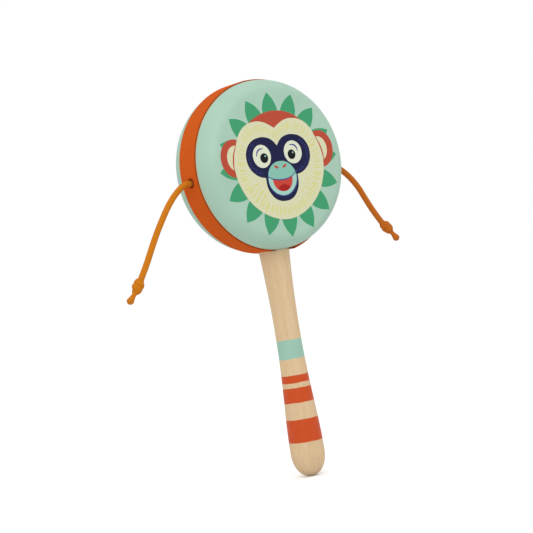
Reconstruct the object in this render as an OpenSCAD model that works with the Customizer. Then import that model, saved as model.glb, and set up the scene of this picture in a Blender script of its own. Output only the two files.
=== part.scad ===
// Twirl drum: a two-sided hand drum on a turned stick, with a knotted striker cord at each side.
// +Z runs up the stick, the printed front faces -Y, and the origin is in the middle of the grip.

/* [Drum] */
// Height of the drum's centre above the middle of the grip
drum_z = 112; // [110:0.5:114]
// Radius of a skin at its widest
skin_r = 42.4; // [42:0.1:43]
// Thickness of the whole drum, from face to face
drum_t = 34.8; // [33:0.2:37]
// Radial size of the rounded shoulder
shoulder_r = 7; // [6:0.5:9]
// Thickness of each skin
skin_t = 1.1; // [0.8:0.1:1.3]
// Wall of the wooden hoop, from its cavity to the ribbon
hoop_wall = 11; // [9:0.5:12]

/* [Ribbon] */
// Width of the ribbon round the rim
ribbon_w = 13.6; // [12:0.1:14.2]
// Thickness of the ribbon
ribbon_t = 0.45; // [0.3:0.05:0.6]
// Radius of the punched hole that each cord comes through
ribbon_hole_r = 2.1; // [1.9:0.05:2.6]

/* [Handle] */
// Diameter of the handle where it meets the drum
neck_d = 15.6; // [14.5:0.1:17]
// Diameter of the waist
waist_d = 12.6; // [12:0.1:13.5]
// Diameter of the swell near the bottom
swell_d = 17.2; // [16:0.1:19]
// Height of the waist above the middle of the grip
waist_z = 30; // [24:1:36]
// Height of the swell, below the middle of the grip
swell_z = -32; // [-34:1:-28]
// Height of the handle's lowest point
base_z = -44.6; // [-47:0.1:-42]
// Diameter of the tenon that is glued into the hoop
tenon_d = 12; // [11:0.1:12.4]
// Length of the tenon inside the hoop
tenon_l = 6; // [4:0.5:9]

/* [Rod and screw] */
// Diameter of the rod that crosses the drum
rod_d = 8; // [7:0.1:9]
// Depth of the rod in the handle, from the tenon's end
rod_depth = 24; // [18:1:28]
// Depth of the rod in the top of the hoop
rod_top = 6; // [4:0.5:7]
// Diameter of the screw's shank
screw_d = 3; // [2.5:0.1:3.5]
// Length of the screw
screw_l = 20; // [14:1:24]

/* [Cords] */
// Diameter of the cord
cord_d = 3; // [2.6:0.1:3.2]
// Height of the cord holes, from the drum's centre
cord_z = -4; // [-6:0.5:-2]
// Length of a striker knot
knot_l = 8; // [7.6:0.1:8.4]
// Diameter of a knot
knot_d = 5.4; // [5:0.1:5.8]
// Diameter of the melted end of a cord
melt_d = 3.6; // [3.4:0.1:4]

/* [Hidden] */

$fn = 96;
glue = 0.05;                                 // gap left for glue, and for a pivot to turn in
face_y = drum_t / 2;                         // the flat face of a skin
seam_y = ribbon_w / 2 + glue;                // the edge of a skin, beside the ribbon
flat_r = skin_r - shoulder_r;                // the edge of the flat face
ribbon_r = skin_r + 0.45;                    // outside of the ribbon, a little proud of the skins
hoop_r = ribbon_r - ribbon_t;                // outside of the hoop under the ribbon
seat_r = skin_r - skin_t - glue;             // outside of the hoop under the skins
cavity_r = hoop_r - hoop_wall;               // inside of the hoop
neck_z = drum_z - skin_r + 2;                // the handle is cut to the rim below this
tenon_top = drum_z - hoop_r + tenon_l;       // the end of the tenon, inside the wall of the hoop
rod_low = tenon_top - rod_depth;             // the rod's lower end
rod_high = drum_z + cavity_r + rod_top;      // the rod's upper end
screw_head_d = 2 * screw_d;                  // countersunk head
screw_top = drum_z + hoop_r - 0.3;           // the head lies just below the ribbon
cord_r = cord_d / 2;
cord_hole_r = cord_r + 0.2;
knot_sides = 60;                             // sides of a knot, round its own axis
tube_sides = 8;
dome_rings = 3;
tail_l = 6.2;                                // cord beyond a striker knot
knot_gap = 0.25;                             // room between a cord's end and a knot that leans from it
stopper_l = 6.2;                             // length of a knot that stops a cord inside
stopper_x = cavity_r - 0.7 - stopper_l / 2;  // its middle
anchor_end_x = 43.6;                         // where the fixed stretch of a cord ends
pivot_x = anchor_end_x + cord_r + glue;      // where a cord starts to swing

// Routes of the two cords at rest, as [out from the drum's centre, up from the drum's centre].
left_upper = [[pivot_x, -4], [47.2, -4.9], [49.3, -6.2], [51.8, -8.1], [54.5, -10.6],
    [56.9, -13.2], [59.1, -15.9], [61.1, -18.6]];
left_lower = [[61.1, -18.6], [63, -21.2], [64.9, -23.9], [66.7, -26.6], [68.4, -29.3], [70, -31.9],
    [71.6, -34.6], [73.2, -37.3], [74.9, -40], [76.7, -42.7], [78.5, -45.4]];
left_knot_lean = 36.4;                       // lean of the knot, out from straight down
left_tail_lean = 44;
right_upper = [[pivot_x, -4], [47.3, -4.8], [49.9, -6.3], [52.3, -8.1], [54.6, -10.2],
    [56.7, -12.5], [58.5, -14.8], [59.9, -16.8], [61.1, -18.8]];
right_lower = [[61.1, -18.8], [62.5, -21.5], [63.95, -24.2], [65.4, -26.9], [66.9, -29.5],
    [68.4, -31.9], [69.95, -34.2], [71.6, -36.7]];
right_knot_lean = 42.9;
right_tail_lean = 38.5;

// A quarter of an ellipse from the rim to the flat face, as [radius, depth] points.
function shoulder(r, y, radial, depth, steps = 14) =
    [for (i = [0:steps]) let (a = 90 * i / steps)
        [r - radial + radial * cos(a), y - depth + depth * sin(a)]];

// Radius of the handle: a hollow curve up to the neck, a long swell below the waist.
function neck_radius(z) = waist_d / 2 + (neck_d - waist_d) / 2 * pow((z - waist_z) / (neck_z - waist_z), 1.8);
function swell_radius(z) = waist_d / 2
    + (swell_d - waist_d) / 2 * (1 - cos(180 * pow((waist_z - z) / (waist_z - swell_z), 1.2))) / 2;

// Points of the handle's outline, from its base to the neck.
base_points = [for (a = [0:10:80]) let (drop = swell_z - base_z)
    [swell_d / 2 * pow(sin(a), 0.91), swell_z - drop * pow(cos(a), 0.91)]];
swell_points = [for (i = [0:16]) let (z = swell_z + (waist_z - swell_z) * i / 16) [swell_radius(z), z]];
neck_points = [for (i = [1:12]) let (z = waist_z + (neck_z - waist_z) * i / 12) [neck_radius(z), z]];

// Unit direction of a lean out from straight down, for a cord on the side given by its sign.
function lean(side, angle) = [side * sin(angle), 0, -cos(angle)];
// A point of a route, in the part's frame.
function place(side, p) = [side * p[0], 0, drum_z + p[1]];
function unit(v) = v / norm(v);
// Direction of a route at one of its points.
function along(path, i) = unit(path[min(i + 1, len(path) - 1)] - path[max(i - 1, 0)]);
// One ring of a tube in the XZ plane, round the direction d.
function ring(p, d, r) = [for (k = [0:tube_sides - 1]) let (a = 360 * (k + 0.5) / tube_sides)
    p + r * cos(a) * [-d[2], 0, d[0]] + r * sin(a) * [0, 1, 0]];

// A cord along a path, with a round start that turns in place and a flat end.
module cord_tube(path, r) {
    start = along(path, 0);
    dome = [for (i = [1:dome_rings]) let (a = 90 * i / dome_rings - 90)
        ring(path[0] + r * sin(a) * start, start, r * cos(a))];
    body = [for (i = [1:len(path) - 1]) ring(path[i], along(path, i), r)];
    rings = concat(dome, body);
    last = len(rings) - 1;
    n = tube_sides;
    points = concat([path[0] - r * start], [for (loop = rings) for (p = loop) p]);
    tip = [for (k = [0:n - 1]) [0, 1 + k, 1 + (k + 1) % n]];
    walls = [for (j = [0:last - 1]) for (k = [0:n - 1]) let (a = 1 + j * n + k, b = 1 + j * n + (k + 1) % n)
        each [[a, a + n, b], [b, a + n, b + n]]];
    end = [[for (k = [n - 1:-1:0]) 1 + last * n + k]];
    polyhedron(points = points, faces = [for (f = concat(tip, walls, end)) [for (k = [len(f) - 1:-1:0]) f[k]]]);
}

// Turns a shape that is drawn along Z to lie along a lean, with its middle at p.
module leaning(p, side, angle) {
    translate(p) rotate([0, side * (180 - angle), 0]) children();
}

// A tight knot as a barrel with a flat at each end, drawn along Z about its middle.
module knot_barrel(length) {
    steps = 10;
    rise = (knot_d - cord_d) / 2;
    side = [for (i = [0:steps]) let (a = 180 * i / steps)
        [cord_r + rise * pow(sin(a), 0.7), -length / 2 * cos(a)]];
    rotate_extrude($fn = knot_sides)
        polygon(concat([[0, -length / 2]], side, [[0, length / 2]]));
}

// The end of a cord beyond its knot, with its melted tip, drawn up Z from the knot.
module cord_end(length) {
    steps = 6;
    tip = [for (i = [1:steps]) let (a = 180 * i / steps - 90)
        [max(melt_d / 2 * cos(a), 0), length + melt_d / 2 * sin(a)]];
    rotate_extrude($fn = 32)
        polygon(concat([[0, 0], [cord_r, 0], [cord_r, length - melt_d / 2]], tip));
}

// The hole for a cord at one side, through the wall.
module cord_bore(side, r) {
    translate([side * cavity_r * 0.8, 0, drum_z + cord_z])
        rotate([0, side * 90, 0]) cylinder(r = r, h = skin_r, $fn = 48);
}

// Turns a profile drawn as [radius, depth] round the drum's own axis.
module drum_turn() {
    translate([0, 0, drum_z]) rotate([90, 0, 0]) rotate_extrude($fn = 128) children();
}

module hoop() {
    inset = skin_t + glue;
    edge = shoulder(seat_r, face_y - inset, seat_r - flat_r, face_y - inset - seam_y);
    land = ribbon_w / 2;
    outline = concat([[cavity_r, inset - face_y]], [for (i = [len(edge) - 1:-1:0]) [edge[i][0], -edge[i][1]]],
        [[seat_r, -land], [hoop_r, -land], [hoop_r, land], [seat_r, land]], edge, [[cavity_r, face_y - inset]]);
    color("burlywood") difference() {
        drum_turn() polygon(outline);
        translate([0, 0, drum_z - skin_r]) cylinder(d = tenon_d + 2 * glue, h = hoop_wall * 1.5);
        translate([0, 0, drum_z]) cylinder(d = rod_d + 2 * glue, h = cavity_r + rod_top + glue);
        translate([0, 0, drum_z]) cylinder(d = screw_d + 2 * glue, h = skin_r);
        translate([0, 0, screw_top - screw_d / 2 - glue])
            cylinder(d1 = screw_d, d2 = screw_head_d + 4 * glue, h = screw_d / 2 + 2 * glue);
        translate([0, 0, screw_top + glue]) cylinder(d = screw_head_d + 4 * glue, h = 2);
        for (side = [-1, 1]) cord_bore(side, cord_hole_r);
    }
}

// A skin glued over one side of the hoop; side is 1 at the front and -1 at the back.
module skin(side) {
    outer = shoulder(skin_r, face_y, shoulder_r, face_y - seam_y);
    inner = shoulder(seat_r + glue, face_y - skin_t, seat_r + glue - flat_r, face_y - skin_t - seam_y);
    outline = concat(outer, [[0, face_y], [0, face_y - skin_t]], [for (i = [len(inner) - 1:-1:0]) inner[i]]);
    color("#a8d0ba") translate([0, 0, drum_z]) rotate([-side * 90, 0, 0]) mirror([0, 0, 1])
        rotate_extrude($fn = 128) polygon(outline);
}

module front_skin() {
    skin(1);
}

module back_skin() {
    skin(-1);
}

module rim_ribbon() {
    color("#d05c1c") difference() {
        drum_turn() translate([hoop_r + 0.01, -ribbon_w / 2]) square([ribbon_t - 0.01, ribbon_w]);
        translate([0, 0, drum_z - skin_r - 1]) cylinder(d = tenon_d + 4 * glue, h = 6);
        for (side = [-1, 1]) cord_bore(side, ribbon_hole_r);
    }
}

module handle() {
    color("#e0c49a") difference() {
        union() {
            difference() {
                rotate_extrude() polygon(concat([[0, base_z]], base_points, swell_points, neck_points, [[0, neck_z]]));
                drum_turn() translate([0, -seam_y]) square([ribbon_r + glue, 2 * seam_y]);
                for (y = [-face_y, seam_y - glue])
                    drum_turn() translate([0, y]) square([skin_r + glue, face_y - seam_y + glue]);
            }
            translate([0, 0, neck_z - 8]) cylinder(d = tenon_d, h = tenon_top - neck_z + 8);
        }
        translate([0, 0, rod_low - glue]) cylinder(d = rod_d + 2 * glue, h = rod_depth + 1);
    }
}

module center_rod() {
    color("tan") difference() {
        translate([0, 0, rod_low]) cylinder(d = rod_d, h = rod_high - rod_low);
        translate([0, 0, screw_top - screw_l - glue]) cylinder(d = screw_d + 2 * glue, h = screw_l);
    }
}

module rod_screw() {
    slot = screw_head_d * 0.6;
    color("silver") difference() {
        union() {
            translate([0, 0, screw_top - screw_d / 2]) cylinder(d1 = screw_d, d2 = screw_head_d, h = screw_d / 2);
            translate([0, 0, screw_top - screw_l + screw_d]) cylinder(d = screw_d, h = screw_l - screw_d * 1.2);
            translate([0, 0, screw_top - screw_l]) cylinder(d1 = 0.4, d2 = screw_d, h = screw_d);
        }
        for (turn = [0, 90]) translate([0, 0, screw_top]) rotate(turn) cube([slot, 0.8, 2], center = true);
    }
}

// The knot that stops a cord inside the drum, with its short end.
module stopper_knot(side) {
    color("#c8742a") leaning([side * stopper_x, 0, drum_z + cord_z], side, 90) {
        knot_barrel(stopper_l);
        rotate([180, 0, 0]) translate([0, 0, stopper_l / 2 - glue]) cylinder(d = cord_d, h = 4, $fn = 32);
    }
}

// The stretch of cord that is held in the wall.
module cord_anchor(side) {
    start = stopper_x + stopper_l / 2;
    color("#c8742a") translate([side * start, 0, drum_z + cord_z]) rotate([0, side * 90, 0])
        cylinder(d = cord_d, h = anchor_end_x - start, $fn = 32);
}

// The middle of a striker knot, which starts where the route ends.
function knot_middle(side, route, angle) =
    place(side, route[len(route) - 1]) + (knot_l / 2 + knot_gap) * lean(side, angle);

// The swinging stretch: a route, stopped short of the next pivot by one radius.
module cord_upper(side, route) {
    path = [for (p = route) place(side, p)];
    last = len(path) - 1;
    stop = path[last] - (cord_r + glue) * along(path, last);
    color("#c8742a") cord_tube([for (i = [0:last]) i < last ? path[i] : stop], cord_r);
}

module cord_lower(side, route) {
    color("#c8742a") cord_tube([for (p = route) place(side, p)], cord_r);
}

module striker_knot(side, route, angle) {
    color("#b8641c") leaning(knot_middle(side, route, angle), side, angle) knot_barrel(knot_l);
}

module cord_tail(side, route, angle, tail_angle) {
    start = knot_middle(side, route, angle) + (knot_l / 2 + glue) * lean(side, angle);
    color("#c8742a") leaning(start + (cord_r * sin(abs(tail_angle - angle))) * lean(side, angle), side, tail_angle)
        cord_end(tail_l);
}

module left_stopper_knot() { stopper_knot(-1); }
module left_cord_anchor() { cord_anchor(-1); }
module left_cord_upper() { cord_upper(-1, left_upper); }
module left_cord_lower() { cord_lower(-1, left_lower); }
module left_striker_knot() { striker_knot(-1, left_lower, left_knot_lean); }
module left_cord_tail() { cord_tail(-1, left_lower, left_knot_lean, left_tail_lean); }
module right_stopper_knot() { stopper_knot(1); }
module right_cord_anchor() { cord_anchor(1); }
module right_cord_upper() { cord_upper(1, right_upper); }
module right_cord_lower() { cord_lower(1, right_lower); }
module right_striker_knot() { striker_knot(1, right_lower, right_knot_lean); }
module right_cord_tail() { cord_tail(1, right_lower, right_knot_lean, right_tail_lean); }

hoop();
front_skin();
back_skin();
rim_ribbon();
handle();
center_rod();
rod_screw();
left_stopper_knot();
left_cord_anchor();
left_cord_upper();
left_cord_lower();
left_striker_knot();
left_cord_tail();
right_stopper_knot();
right_cord_anchor();
right_cord_upper();
right_cord_lower();
right_striker_knot();
right_cord_tail();
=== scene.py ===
"""Looks of a twirl drum: a two-sided hand drum on a turned stick, with a knotted cord at each side."""

import logging
import math
import random
from collections.abc import Iterable, Sequence
from dataclasses import dataclass, field
from enum import Enum
from typing import Any

import bmesh
import bpy
from bmesh.types import BMEdge, BMesh, BMVert
from bpy.types import Material, Mesh, NodeSocket, Object
from mathutils import Matrix, Quaternion, Vector


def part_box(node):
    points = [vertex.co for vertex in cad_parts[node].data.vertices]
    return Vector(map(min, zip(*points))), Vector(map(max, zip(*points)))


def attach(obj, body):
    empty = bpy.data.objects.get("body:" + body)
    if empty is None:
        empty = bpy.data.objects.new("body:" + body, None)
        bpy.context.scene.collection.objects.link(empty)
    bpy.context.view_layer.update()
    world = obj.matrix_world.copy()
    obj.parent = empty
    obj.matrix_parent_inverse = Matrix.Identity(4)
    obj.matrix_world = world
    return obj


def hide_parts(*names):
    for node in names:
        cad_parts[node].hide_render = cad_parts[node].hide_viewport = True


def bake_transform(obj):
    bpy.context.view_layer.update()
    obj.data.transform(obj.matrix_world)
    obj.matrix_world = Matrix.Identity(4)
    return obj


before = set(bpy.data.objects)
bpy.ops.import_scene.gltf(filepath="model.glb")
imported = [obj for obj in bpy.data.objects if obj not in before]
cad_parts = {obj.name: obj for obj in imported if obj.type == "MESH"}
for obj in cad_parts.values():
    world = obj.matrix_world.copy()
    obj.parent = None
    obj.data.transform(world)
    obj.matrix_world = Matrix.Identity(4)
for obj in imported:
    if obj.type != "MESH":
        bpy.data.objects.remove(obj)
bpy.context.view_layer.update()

MM = 0.001
HOLE_HEIGHT = -4.0  # of the cord holes, up from the drum's centre, in millimetres
LOG = logging.getLogger("twirl_drum")
Colour = tuple[float, float, float]
Flat = tuple[float, float]


# ---- shader expressions


def srgb(red: int, green: int, blue: int) -> Colour:
    """Gives the linear colour of a paint-chart value.

    Args:
        red: Red, from 0 to 255.
        green: Green, from 0 to 255.
        blue: Blue, from 0 to 255.

    Returns:
        The linear colour.
    """
    def linear(level: int) -> float:
        """Undoes the display curve of one channel."""
        c = level / 255
        return c / 12.92 if c <= 0.04045 else ((c + 0.055) / 1.055) ** 2.4

    return linear(red), linear(green), linear(blue)


def shade(colour: Colour, *factors: float) -> Colour:
    """Scales a colour by one factor, or by one for each channel."""
    each = factors * 3 if len(factors) == 1 else factors
    return tuple(min(c * f, 1.0) for c, f in zip(colour, each))


class Node:
    """A shader value: one output socket, on which Python's own operators add Math nodes."""

    def __init__(self, graph: "Graph", socket: NodeSocket) -> None:
        """Keeps the socket and the graph that it belongs to."""
        self.graph = graph
        self.socket = socket

    def math(self, operation: str, *operands: "Node | float") -> "Node":
        """Adds a Math node.

        Args:
            operation: The node's operation.
            operands: All of its operands, in order.

        Returns:
            The node's result.
        """
        return self.graph.add("ShaderNodeMath", {"operation": operation}, dict(enumerate(operands)))

    def __add__(self, other: "Node | float") -> "Node":
        """self + other."""
        return self.math("ADD", self, other)

    __radd__ = __add__

    def __sub__(self, other: "Node | float") -> "Node":
        """self - other."""
        return self.math("SUBTRACT", self, other)

    def __rsub__(self, other: float) -> "Node":
        """other - self."""
        return self.math("SUBTRACT", other, self)

    def __mul__(self, other: "Node | float") -> "Node":
        """self * other."""
        return self.math("MULTIPLY", self, other)

    __rmul__ = __mul__

    def __pow__(self, other: float) -> "Node":
        """self ** other."""
        return self.math("POWER", self, other)

    def sine(self) -> "Node":
        """The sine of an angle in radians."""
        return self.math("SINE", self)

    def size(self) -> "Node":
        """The absolute value."""
        return self.math("ABSOLUTE", self)

    def above(self, edge: float, softness: float) -> "Node":
        """A soft step from 0 to 1.

        Args:
            edge: The value at the middle of the step.
            softness: Half the width of the step.

        Returns:
            The step's value.
        """
        sockets = {"Value": self, "From Min": edge - softness, "From Max": edge + softness}
        return self.graph.add("ShaderNodeMapRange", {"interpolation_type": "SMOOTHSTEP"}, sockets)

    def between(self, low: float, high: float, softness: float) -> "Node":
        """A soft band that is 1 from low to high."""
        return self.above(low, softness) * (1 - self.above(high, softness))


class Graph:
    """The node tree of one material."""

    def __init__(self, name: str) -> None:
        """Makes an empty material with its shader.

        Args:
            name: The material's name.
        """
        self.material = bpy.data.materials.new(name)
        self.material.use_nodes = True
        self.tree = self.material.node_tree
        self.shader = self.tree.nodes["Principled BSDF"]

    def feed(self, socket: NodeSocket, value: Any) -> None:
        """Links a value to a socket, or sets the socket's own value.

        Args:
            socket: The socket.
            value: A link, a number, a colour or a vector.
        """
        if isinstance(value, Node):
            self.tree.links.new(value.socket, socket)
        elif socket.type == "RGBA":
            socket.default_value = (*value, 1.0)
        else:
            socket.default_value = value

    def add(self, kind: str, settings: dict[str, Any] | None = None,
            sockets: dict[str | int, Any] | None = None, output: int = 0) -> Node:
        """Adds a node of any type.

        Args:
            kind: The node's type.
            settings: Its own settings, which are set first.
            sockets: Values or links of its inputs, by name or number.
            output: The number of the output to use.

        Returns:
            The chosen output.
        """
        node = self.tree.nodes.new(kind)
        for key, value in (settings or {}).items():
            setattr(node, key, value)
        for key, value in (sockets or {}).items():
            self.feed(node.inputs[key], value)
        return Node(self, node.outputs[output])

    def place(self) -> Node:
        """The point on the object, in metres."""
        return self.add("ShaderNodeTexCoord", output=3)

    def axes(self, point: Node) -> tuple[Node, Node, Node]:
        """Splits a point into its three coordinates."""
        split = self.add("ShaderNodeSeparateXYZ", {}, {0: point}).socket.node
        return tuple(Node(self, out) for out in split.outputs)

    def stretched(self, point: Node, scale: Sequence[float]) -> Node:
        """Scales a point by a different number along each axis."""
        return self.add("ShaderNodeMapping", {}, {"Vector": point, "Scale": tuple(scale)})

    def attribute(self, name: str) -> Node:
        """A number that the mesh stores at each point."""
        return self.add("ShaderNodeAttribute", {"attribute_name": name}, output=2)

    def noise(self, point: Node, scale: float, detail: float = 2.0, roughness: float = 0.5) -> Node:
        """Soft noise from 0 to 1, with its scale in cycles a metre."""
        sockets = {"Vector": point, "Scale": scale, "Detail": detail, "Roughness": roughness}
        return self.add("ShaderNodeTexNoise", {}, sockets)

    def mix(self, factor: Node | float, first: Any, second: Any) -> Node:
        """Mixes two colours.

        Args:
            factor: 0 for the first colour and 1 for the second.
            first: A colour or a link.
            second: A colour or a link.

        Returns:
            The mixed colour.
        """
        return self.add("ShaderNodeMix", {"data_type": "RGBA"}, {0: factor, 6: first, 7: second}, output=2)

    def bump(self, height: Node, distance: float, strength: float = 1.0) -> Node:
        """A normal from a height, with its distance in metres."""
        sockets = {"Strength": strength, "Distance": distance, "Height": height}
        return self.add("ShaderNodeBump", {}, sockets)

    def finish(self, **sockets: Any) -> Material:
        """Sets the shader's sockets.

        Args:
            sockets: Their values or links, by name with underscores for spaces.

        Returns:
            The finished material.
        """
        for key, value in sockets.items():
            self.feed(self.shader.inputs[key.replace("_", " ")], value)
        return self.material


# ---- finishes


@dataclass(frozen=True)
class SatinSkin:
    """Painted drum skin: an even satin coat with the faintest mottle and pebble, paler in a thin band at its
    edge.
    """

    name: str
    colour: Colour
    edge: Colour
    seam: float

    def make(self) -> Material:
        """Makes the finish.

        Returns:
            Its material.
        """
        g = Graph(self.name)
        p = g.place()
        cloud = g.noise(p, 45, 3)
        pebble = g.noise(p, 2600, 2)
        fleck = g.noise(p, 900, 4, 0.7).above(0.70, 0.05)
        tone = g.mix(cloud.above(0.5, 0.25), shade(self.colour, 0.965), shade(self.colour, 1.03))
        flecks_and_seam_shade = g.mix(fleck * 0.10, tone, shade(self.colour, 0.80))
        _, y, _ = g.axes(p)
        # Paler in a thin band at the edge next to the ribbon.
        lip = 1 - y.size().above(self.seam + 0.0008, 0.0003)
        edged = g.mix(lip * 0.7, flecks_and_seam_shade, self.edge)
        return g.finish(
            Base_Color=edged, Roughness=0.46 + 0.10 * g.noise(p, 320, 3), Coat_Weight=0.05,
            Normal=g.bump(pebble, 0.00004, 0.45), Specular_IOR_Level=0.26, Coat_Roughness=0.35)


@dataclass(frozen=True)
class PrintInk:
    """Flat screen-print ink with a slightly uneven lay-down."""

    name: str
    colour: Colour
    mottle: float

    def make(self) -> Material:
        """Makes the finish.

        Returns:
            Its material.
        """
        g = Graph(self.name)
        p = g.place()
        grain = g.noise(p, 1500, 3, 0.6)
        cloud = g.noise(p, 160, 2)
        dark, light = shade(self.colour, 1 - self.mottle), shade(self.colour, 1 + self.mottle)
        tone = g.mix(0.6 * grain + 0.4 * cloud, dark, light)
        return g.finish(
            Base_Color=tone, Roughness=0.55 + 0.12 * grain, Normal=g.bump(grain, 0.00002, 0.3),
            Specular_IOR_Level=0.14)


@dataclass(frozen=True)
class Grosgrain:
    """Woven ribbon: ribs across it, fine warp threads along it, painted highlight on the rib crests, and
    painted shade in the rib grooves, at its sides and round its holes.
    """

    name: str
    colour: Colour
    # cut is the colour of the painted shade in and round the cord holes.
    cut: Colour
    thread: float = 0.00028

    def make(self) -> Material:
        """Makes the finish.

        Returns:
            Its material.
        """
        g = Graph(self.name)
        p = g.place()
        _, y, _ = g.axes(p)
        rib = g.attribute("rib")
        edge = g.attribute("edge")
        warp = (y * (2 * math.pi / self.thread)).sine() * 0.5 + 0.5
        patch = g.noise(p, 120, 3)
        fuzz = g.noise(p, 3500, 2, 0.7)
        # Painted shade in the rib grooves and painted highlight on the rib crests: the colour follows the
        # rib height.
        base = g.mix(rib, shade(self.colour, 0.72), shade(self.colour, 1.12))
        lit = g.mix(patch.above(0.55, 0.3) * 0.35, base, shade(self.colour, 0.82))
        # Painted shade along the last millimetre of each side, where the ribbon meets the skins.
        flecks_and_seam_shade = g.mix(edge * 0.35, lit, shade(self.colour, 0.70))
        # Painted shade on the side walls, in the gap between the ribbon and the skins.
        sided = g.mix(edge.above(0.95, 0.05) * 0.8, flecks_and_seam_shade, shade(self.colour, 0.55))
        # Painted shade in and round the cord holes.
        punched = g.mix(g.attribute("punched") * 0.85, sided, self.cut)
        height = 0.7 * warp * rib + 0.5 * fuzz
        return g.finish(
            Base_Color=punched, Roughness=0.78 + 0.14 * fuzz, Normal=g.bump(height, 0.00006, 0.7),
            Specular_IOR_Level=0.06, Sheen_Weight=0.05, Sheen_Roughness=0.4,
            Sheen_Tint=shade(self.colour, 1.5))


class Paint(Enum):
    """The painted bands of the handle."""

    MINT = srgb(144, 184, 166)
    CORAL = srgb(190, 68, 18)


@dataclass(frozen=True)
class Band:
    """A painted band, by its heights in metres."""

    low: float
    high: float
    paint: Paint


@dataclass(frozen=True)
class Beech:
    """Turned beech under a clear satin varnish, with its painted bands and painted shade round its cord
    holes.
    """

    name: str
    colour: Colour
    bands: tuple[Band, ...] = ()
    # The colour of the painted shade round the cord holes, and the holes' height.
    hole_shade_colour: Colour = (0.0, 0.0, 0.0)
    hole_shade_height: float = 0.0

    def make(self) -> Material:
        """Makes the finish.

        Returns:
            Its material.
        """
        g = Graph(self.name)
        p = g.place()
        _, _, z = g.axes(p)
        figure = g.noise(g.stretched(p, (1, 1, 0.07)), 330, 4, 0.55)
        fine = g.noise(g.stretched(p, (1, 1, 0.035)), 1900, 3, 0.6)
        rays = g.noise(g.stretched(p, (1, 1, 0.16)), 2900, 1, 0.4).above(0.69, 0.035)
        cloud = g.noise(g.stretched(p, (1, 1, 0.35)), 85, 2)
        wood = shade(self.colour, 1.05)
        for mask, tint in ((figure.above(0.52, 0.22) * 0.65, (0.96, 0.88, 0.78)),
                           (cloud.above(0.6, 0.3) * 0.35, (1, 0.9, 0.86)),
                           (fine.above(0.58, 0.12) * 0.30, (0.80,)), (rays * 0.45, (0.66, 0.54, 0.42))):
            wood = g.mix(mask, wood, shade(self.colour, *tint))
        height = 0.5 * fine + 0.3 * figure
        painted: Node | float = 0.0
        tone = wood
        wobble = (g.noise(p, 260, 2) - 0.5) * 0.0006
        for band in self.bands:
            mask = (z + wobble).between(band.low, band.high, 0.00012)
            streak = g.noise(g.stretched(p, (0.25, 0.25, 1)), 1500, 2)
            coat = g.mix(streak, shade(band.paint.value, 0.93), shade(band.paint.value, 1.06))
            tone = g.mix(mask * (0.985 - 0.10 * rays), tone, coat)
            painted = mask + painted
        if self.hole_shade_height:
            # Painted shade round each cord hole in the wood.
            x, y, _ = g.axes(p)
            round_hole = ((y * y + (z - self.hole_shade_height) ** 2) ** 0.5).above(0.0036, 0.0006)
            tone = g.mix((1 - round_hole) * x.size().above(0.036, 0.002) * 0.9, tone, self.hole_shade_colour)
        rough = 0.44 + 0.10 * fine - 0.05 * painted
        return g.finish(
            Base_Color=tone, Roughness=rough, Normal=g.bump(height + 0.8 * painted, 0.00006, 0.35),
            Specular_IOR_Level=0.15, Coat_Weight=0.04, Coat_Roughness=0.28)


@dataclass(frozen=True)
class BraidedCord:
    """Round braided polyester cord, with painted shade between its strands and painted highlight on them,
    and a melted and darkened tip.
    """

    name: str
    colour: Colour

    def make(self) -> Material:
        """Makes the finish.

        Returns:
            Its material.
        """
        g = Graph(self.name)
        p = g.place()
        weave = g.attribute("weave")
        melt = g.attribute("melt")
        fibre = g.noise(p, 5200, 2, 0.7)
        patch = g.noise(p, 240, 2)
        # Painted shade in the grooves between the strands and painted highlight on their tops: the colour
        # follows the strand height.
        base = g.mix(weave, shade(self.colour, 0.50), shade(self.colour, 1.12))
        soft = g.mix(patch.above(0.5, 0.3) * 0.30, base, shade(self.colour, 0.80))
        tone = g.mix(melt * 0.45, soft, shade(self.colour, 0.70))
        return g.finish(
            Base_Color=tone, Roughness=0.68 + 0.15 * fibre - 0.38 * melt,
            Normal=g.bump(fibre, 0.00005, 0.6), Specular_IOR_Level=0.12,
            Sheen_Weight=0.05, Sheen_Roughness=0.45, Sheen_Tint=shade(self.colour, 1.4))


@dataclass(frozen=True)
class PlatedSteel:
    """Zinc plated screw steel with a fine turned grain."""

    name: str

    def make(self) -> Material:
        """Makes the finish.

        Returns:
            Its material.
        """
        g = Graph(self.name)
        p = g.place()
        grain = g.noise(g.stretched(p, (1, 1, 9)), 900, 2)
        tone = g.mix(grain, srgb(168, 170, 172), srgb(206, 207, 206))
        return g.finish(Base_Color=tone, Roughness=0.28 + 0.18 * grain, Metallic=1.0,
                        Normal=g.bump(grain, 0.00002, 0.3))


class Finishes:
    """The finishes of the drum, made once."""

    def __init__(self) -> None:
        """Makes each material."""
        self.skin = SatinSkin("mint_skin", srgb(155, 187, 168), srgb(214, 196, 162), 0.00685).make()
        # The ribbon's second colour is the painted shade round its cord holes.
        self.ribbon = Grosgrain("ribbon_weave", srgb(204, 88, 22), srgb(120, 26, 8)).make()
        # The hoop's dark red is painted shade round its cord holes.
        hoop = Beech("hoop_wood", srgb(150, 112, 78), hole_shade_colour=srgb(112, 22, 8), hole_shade_height=0.108)
        self.hoop = hoop.make()
        self.rod = Beech("rod_wood", srgb(200, 172, 132)).make()
        self.steel = PlatedSteel("screw_steel").make()


# ---- pieces


@dataclass(frozen=True)
class Rig:
    """How a finished piece joins the frame."""

    body: str
    slot: str
    replaces: tuple[str, ...] = ()


def dress(mesh: Mesh, material: Material) -> None:
    """Gives a mesh its one material."""
    mesh.materials.clear()
    mesh.materials.append(material)


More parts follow.
